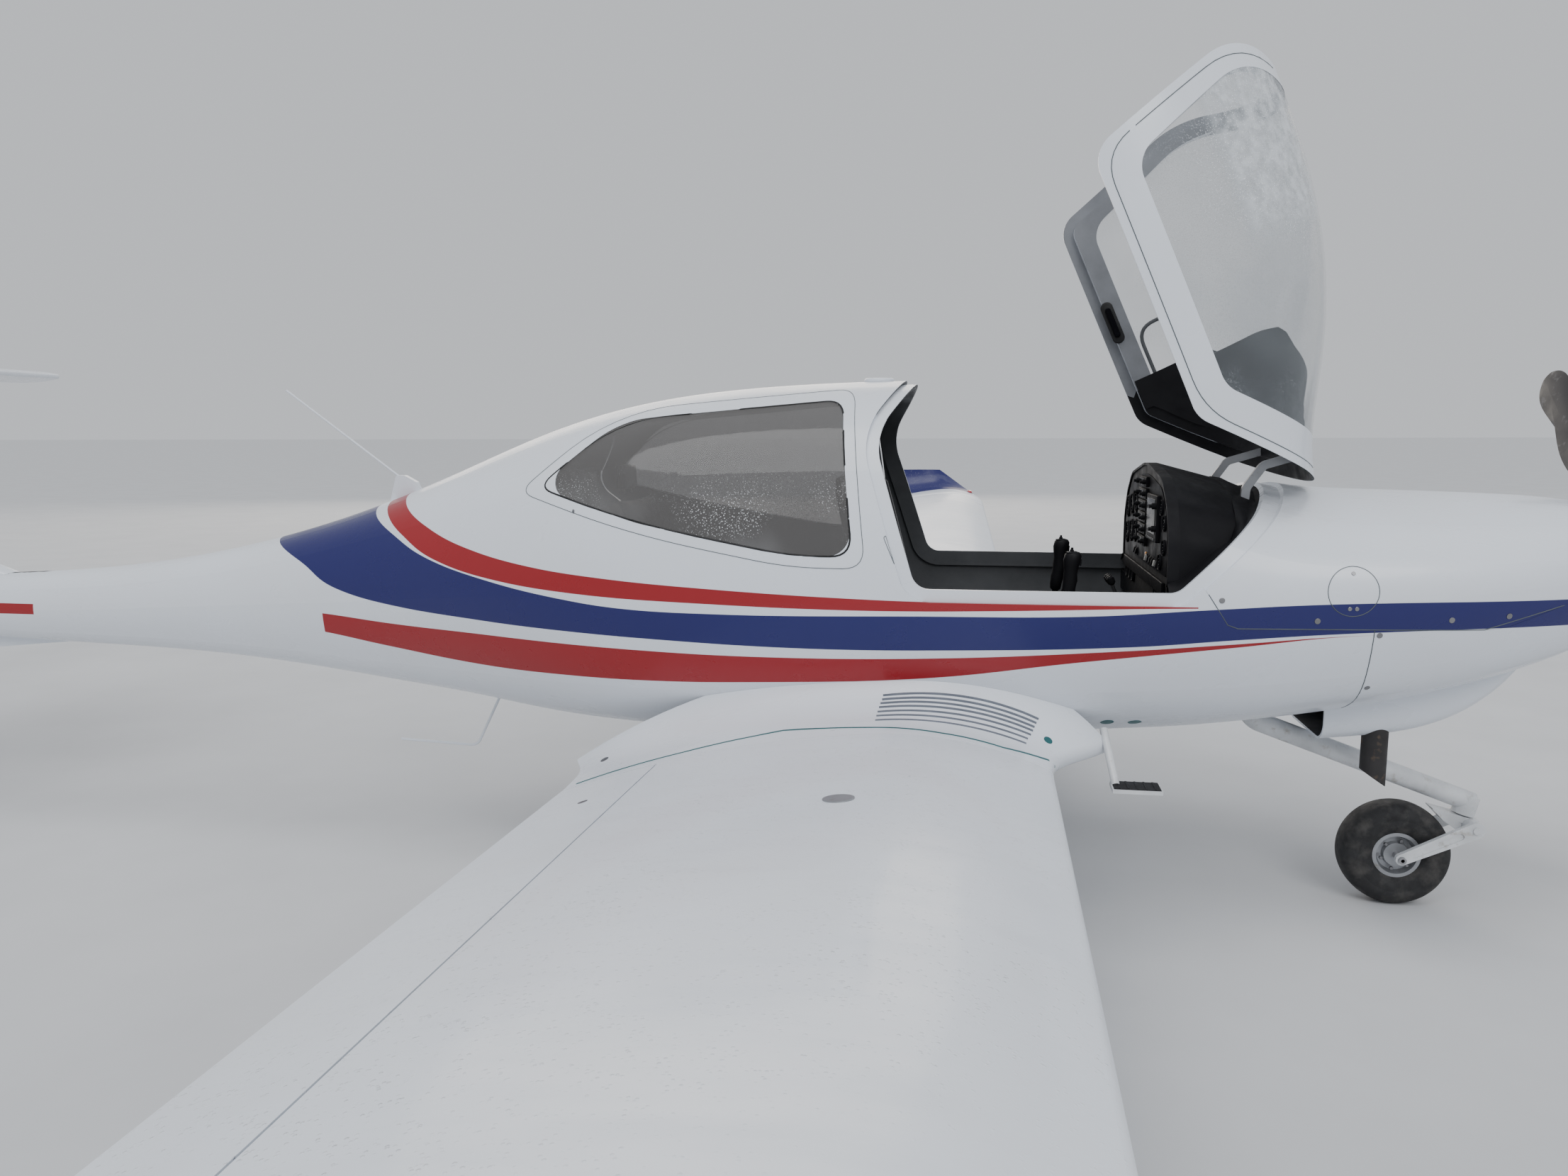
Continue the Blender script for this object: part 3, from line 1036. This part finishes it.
# Middles of the seats, and a front seat's frame and lap belt as x, distance from its middle, z
FRONT_Y = 0.262
REAR_Y = 0.240
HEADREST_X = 0.3745
FRAME = [(1.410, 0.205, 0.82), (1.395, 0.215, 0.92), (1.288, 0.205, 1.40), (1.276, 0.12, 1.452)]
LAP = [(1.470, 0.215, 0.880), (1.490, 0.19, 0.925), (1.530, 0.12, 0.944), (1.552, 0.035, 0.946)]
for side, tag in SIDES:
    y = side * FRONT_Y
    low, high = Vector((1.452, y, 0.905)), Vector((1.318, y, 1.438))
    lean = (high - low).normalized()
    front_base = pillow(f"front_seat_base_{tag}", (1.682, y, 0.862), (-1, 0, -0.07), (0.455, 0.470, 0.105),
                        0.016, (-0.45, 0.25), (-0.62, 0.62))
    pillow(f"front_seat_back_{tag}", (low + high) / 2, -lean, (0.450, 0.560, 0.080), 0.012, (-0.55, 0.05),
           (-0.62, 0.62), flat_back=False)
    bar = [(x, y - dy, z) for x, dy, z in FRAME] + [(x, y + dy, z) for x, dy, z in FRAME[::-1]]
    tube(f"front_seat_frame_{tag}", spread(bar, 0.03), 0.010, "black")
    flat(f"front_seat_pan_{tag}", (1.665, y, 0.811), (0.42, 0.44, 0.020), "black", 0.008)
    out = Vector((lean.z, 0, -lean.x)) * 0.056
    for k, dy in enumerate((-0.075, 0.075)):
        belt = [high + lean * 0.022 + Vector((-0.02, dy, 0)),
                high + lean * 0.012 + out * 0.6 + Vector((0, dy, 0))]
        belt += [high.lerp(low, t) + out * (1 + 0.10 * math.sin(t * 3.1))
                 + Vector((0, dy * (1 - 0.55 * t), 0))
                 for t in (0.06, 0.2, 0.35, 0.5, 0.65, 0.8, 0.9)]
        belt.append(Vector((1.545, y + dy * 0.3, 0.942)))
        strap(f"shoulder_belt_{tag}_{k}", belt, Y)
        strap(f"lap_belt_{tag}_{k}", [Vector((x, y + math.copysign(away, dy), z)) for x, away, z in LAP],
              (0.8, 0, 0.2))
    flat(f"belt_buckle_{tag}", (1.556, y, 0.951), (0.062, 0.058, 0.016), "cast", 0.005, normal=(0.15, 0, 1))
    y = side * REAR_Y
    low, high = Vector((0.545, y, 0.862)), Vector((0.412, y, 1.345))
    rear_base = pillow(f"rear_seat_base_{tag}", (0.770, y, 0.793), (-1, 0, -0.06), (0.452, 0.420, 0.090),
                       0.014, (-0.2,), (-0.6, 0.6))
    pillow(f"rear_seat_back_{tag}", (low + high) / 2, low - high, (0.448, 0.520, 0.075), 0.010, (-0.4, 0.2),
           (-0.6, 0.6), flat_back=False)
    pillow(f"rear_headrest_{tag}", (HEADREST_X, y, 1.437), (0.05, 0, -1), (0.196, 0.090, 0.042), 0.004,
           flat_back=False, steps=28)
    for k, dy in enumerate((-0.045, 0.045)):
        post = [(HEADREST_X, y + dy, 1.405), (0.380, y + dy, 1.375)]
        tube(f"headrest_post_{tag}_{k}", post, 0.005, "screw")
    flat(f"rear_seat_box_{tag}", (0.760, side * 0.165, 0.724), (0.26, 0.40, 0.046), "trim", 0.012)
    if side < 0:
        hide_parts("front_seats")
        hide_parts("rear_seats")

# Wheel bolts and brake hoses
NOSE_BOLT = [(0.0065, -0.002), (0.0065, 0.005), (0.005, 0.0065)]
MAIN_BOLT = [(0.0075, -0.004), (0.0075, 0.005), (0.006, 0.007)]
HOSE = [(1.432, 0.60, 0.500), (1.428, 0.80, 0.436), (1.430, 1.05, 0.354), (1.436, 1.28, 0.276),
        (1.405, 1.345, 0.262)]


def wheel_bolt(name, hub, side, degrees, ring, out, profile, body):
    """A six-sided bolt head, on a wheel's ring of bolts."""
    a = math.radians(degrees)
    spot = hub + Vector((math.cos(a) * ring, side * out, math.sin(a) * ring))
    lathe(name, profile, spot, (0, side, 0), "screw", 6, body)


for k in range(6):
    for side, tag in SIDES:
        wheel_bolt(f"nose_bolt_{k}_{tag[0]}", AXLE_NOSE, side, 60 * k + 15, 0.050, 0.0385, NOSE_BOLT,
                   "nose_wheel")
for side, tag in SIDES:
    hub = Vector((AXLE_MAIN.x, side * AXLE_MAIN.y, AXLE_MAIN.z))
    for k in range(6):
        wheel_bolt(f"main_bolt_{tag}_{k}", hub, side, 60 * k + 20, 0.072, 0.041, MAIN_BOLT,
                   f"main_wheel_{tag}")
    tube(f"brake_hose_{tag}", spread([(x, side * y, z) for x, y, z in HOSE], 0.04), 0.0045, "hose")

# Door handle in its recess
place, normal = on_side(1.24, 1.155, 1)
plate("door_handle_recess", place + normal * 0.001, (0.150, 0.050, 0.003), "line", normal, bevel=0.001,
      body="cabin_door")
plate("door_handle", place + normal * 0.011, (0.118, 0.022, 0.012), "cast", normal, bevel=0.005,
      body="cabin_door")

# Outlines of the catches aft of the mouth, and dark treads on the boarding steps
CATCH = [(1.436, 1.290), (1.459, 1.300), (1.520, 1.160), (1.497, 1.150)]
STEP_Y = 0.6265
for side, tag in SIDES:
    side_line(f"catch_outline_{tag}", spread(rounded(CATCH, [0.008] * 4), 0.008, True), side, 0.002, "line")
    flat(f"step_tread_{tag}", (2.200, side * STEP_Y, 0.5578), (0.079, 0.136, 0.003), "walk_black", 0.0012)
    for k in range(5):
        flat(f"step_rib_{tag}_{k}", (2.148 + 0.026 * k, side * STEP_Y, 0.5600), (0.074, 0.006, 0.002),
             "walk_black", 0.0008)

# Floor
FAR = 400
floor_mesh = bpy.data.meshes.new("floor")
floor_mesh.from_pydata([(-FAR, -FAR, 0), (FAR, -FAR, 0), (FAR, FAR, 0), (-FAR, FAR, 0)], [], [(0, 1, 2, 3)])
floor = bpy.data.objects.new("floor", floor_mesh)
bpy.context.scene.collection.objects.link(floor)
ground = Shader("floor", rough=0.9)
ground.bsdf.inputs["Specular IOR Level"].default_value = 0.1
tone = ground.ramp(ground.noise(1.5, 4), 0.3, 0.7)
ground.colour(ground.mix(tone, (0.56, 0.57, 0.585), (0.60, 0.61, 0.625)))
floor_mesh.materials.append(ground.mat)

# World: a soft gradient from the ground's grey up to a pale sky
world = bpy.data.worlds.new("studio")
bpy.context.scene.world = world
world.use_nodes = True
sky = world.node_tree
coords, mapping, grad, ramp = (sky.nodes.new(f"ShaderNode{kind}") for kind in
                               ("TexCoord", "Mapping", "TexGradient", "ValToRGB"))
background = sky.nodes["Background"]
mapping.inputs["Rotation"].default_value = (0, math.radians(-90), 0)
ramp.color_ramp.elements[0].color = (0.66, 0.68, 0.71, 1)
ramp.color_ramp.elements[1].color = (1.0, 1.04, 1.12, 1)
background.inputs["Strength"].default_value = 1.0
sky.links.new(coords.outputs["Generated"], mapping.inputs["Vector"])
sky.links.new(mapping.outputs["Vector"], grad.inputs["Vector"])
sky.links.new(grad.outputs["Fac"], ramp.inputs["Fac"])
sky.links.new(ramp.outputs["Color"], background.inputs["Color"])

# Lights
LIT_PLACE = Vector((1, 0, 1))


def area_light(name, place, size, power, tint):
    """A soft oval light that faces the aircraft."""
    data = bpy.data.lights.new(name, "AREA")
    data.shape = "ELLIPSE"
    data.size, data.size_y = size
    data.energy = power
    data.color = tint
    obj = bpy.data.objects.new(name, data)
    bpy.context.scene.collection.objects.link(obj)
    obj.location = place
    obj.rotation_euler = (LIT_PLACE - Vector(place)).to_track_quat("-Z", "Y").to_euler()


area_light("key", (8, -15, 13), (11, 9), 1300, (0.99, 0.99, 1.0))
area_light("back", (-5, 22, 9), (22, 12), 1500, (1.0, 0.90, 0.78))
sun_data = bpy.data.lights.new("sun", "SUN")
sun_data.energy = 1.1
sun_data.angle = math.radians(40)
sun = bpy.data.objects.new("sun", sun_data)
bpy.context.scene.collection.objects.link(sun)
sun.rotation_euler = Vector((-0.25, -0.35, 1.0)).to_track_quat("Z", "Y").to_euler()

# Camera, as worked out from the photograph, with its angles in degrees
CAMERA_PLACE = (1.689, -3.997, 1.600)
CAMERA_TURN, CAMERA_DIP, CAMERA_ROLL = 9.299, 7.784, -0.128
camera_data = bpy.data.cameras.new("camera")
camera_data.sensor_width = 36
camera_data.lens = 25.82
camera_data.clip_end = 3 * FAR
camera = bpy.data.objects.new("camera", camera_data)
bpy.context.scene.collection.objects.link(camera)
camera.matrix_world = (
    Matrix.Translation(CAMERA_PLACE)
    @ Matrix.Rotation(math.radians(CAMERA_TURN), 4, "Z")
    @ Matrix.Rotation(math.radians(90 - CAMERA_DIP), 4, "X")
    @ Matrix.Rotation(math.radians(CAMERA_ROLL), 4, "Z")
)
bpy.context.scene.camera = camera
